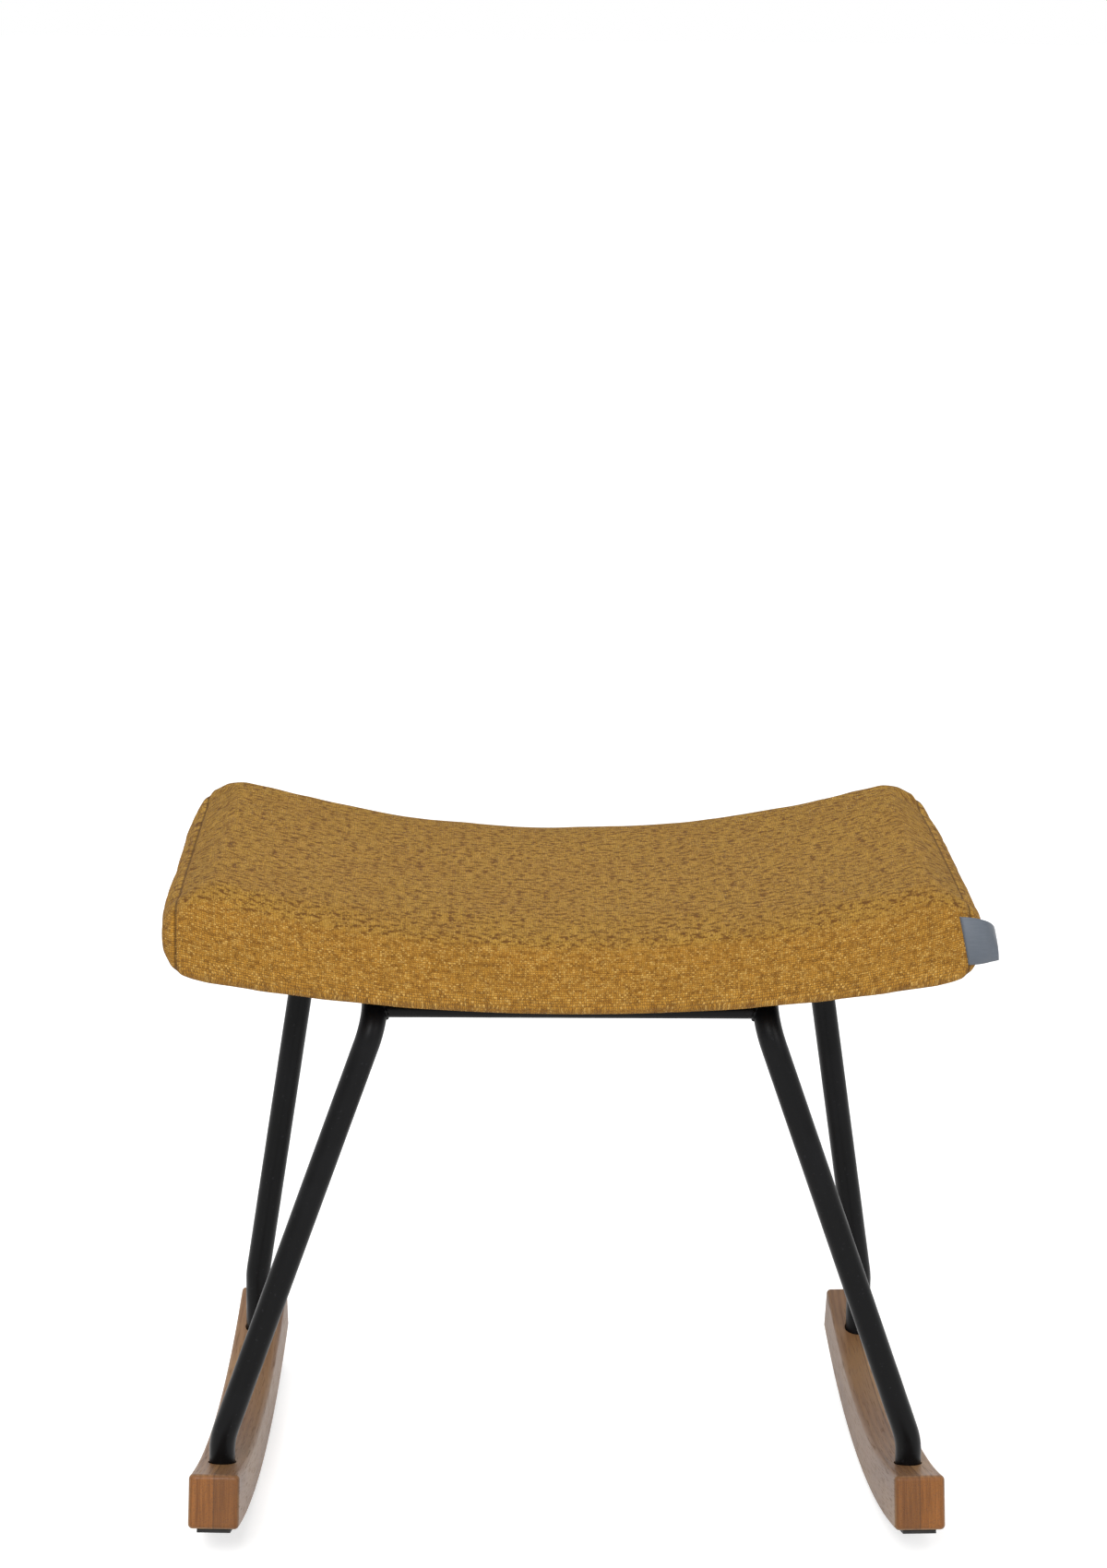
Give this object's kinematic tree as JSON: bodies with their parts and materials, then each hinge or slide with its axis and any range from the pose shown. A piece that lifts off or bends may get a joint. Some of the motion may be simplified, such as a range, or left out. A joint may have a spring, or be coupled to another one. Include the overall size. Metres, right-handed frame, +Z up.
{
  "type": "rocking footstool",
  "caption": "Rocking footstool: saddle-shaped upholstered seat on bent black steel tubes, whose legs stand in curved laminated wood rockers with anti-slip strips.",
  "frame": {"origin": "on the floor under the middle of the stool, where the two rockers touch the floor at rest", "axes": "+X along the seat to the right as the picture shows it, -Y is the front, +Z is up"},
  "size_m": [0.5215, 0.3432, 0.4312],
  "materials": {
    "black_steel": "satin black powder coat",
    "zinc_steel": "zinc plated",
    "rocker_wood": "oiled laminated hardwood",
    "strip_rubber": "dark anti-slip strip",
    "plywood": "raw moulded plywood",
    "foam": "upholstery foam",
    "mustard_fabric": "woven melange upholstery",
    "black_cloth": "non-woven dust cloth",
    "grey_satin": "satin ribbon"
  },
  "bodies": {
    "root": {"side_tube_left": "black_steel", "side_tube_right": "black_steel", "front_cross_tube": "black_steel", "rear_cross_tube": "black_steel", "seat_lug_front_left": "black_steel", "seat_lug_front_right": "black_steel", "seat_lug_rear_left": "black_steel", "seat_lug_rear_right": "black_steel", "leg_plug_front_left": "zinc_steel", "leg_plug_front_right": "zinc_steel", "leg_plug_rear_left": "zinc_steel", "leg_plug_rear_right": "zinc_steel", "rocker_bolts": "zinc_steel", "rocker_washers": "zinc_steel", "seat_bolts": "zinc_steel", "seat_washers": "zinc_steel", "tee_nuts": "zinc_steel", "rocker_left": "rocker_wood", "rocker_right": "rocker_wood", "rocker_strip_left": "strip_rubber", "rocker_strip_right": "strip_rubber", "seat_board": "plywood", "seat_foam": "foam", "cover_main_panel": "mustard_fabric", "cover_end_panel_left": "mustard_fabric", "cover_end_panel_right": "mustard_fabric", "dust_cover": "black_cloth", "label_tab": "grey_satin"}
  },
  "joints": []
}
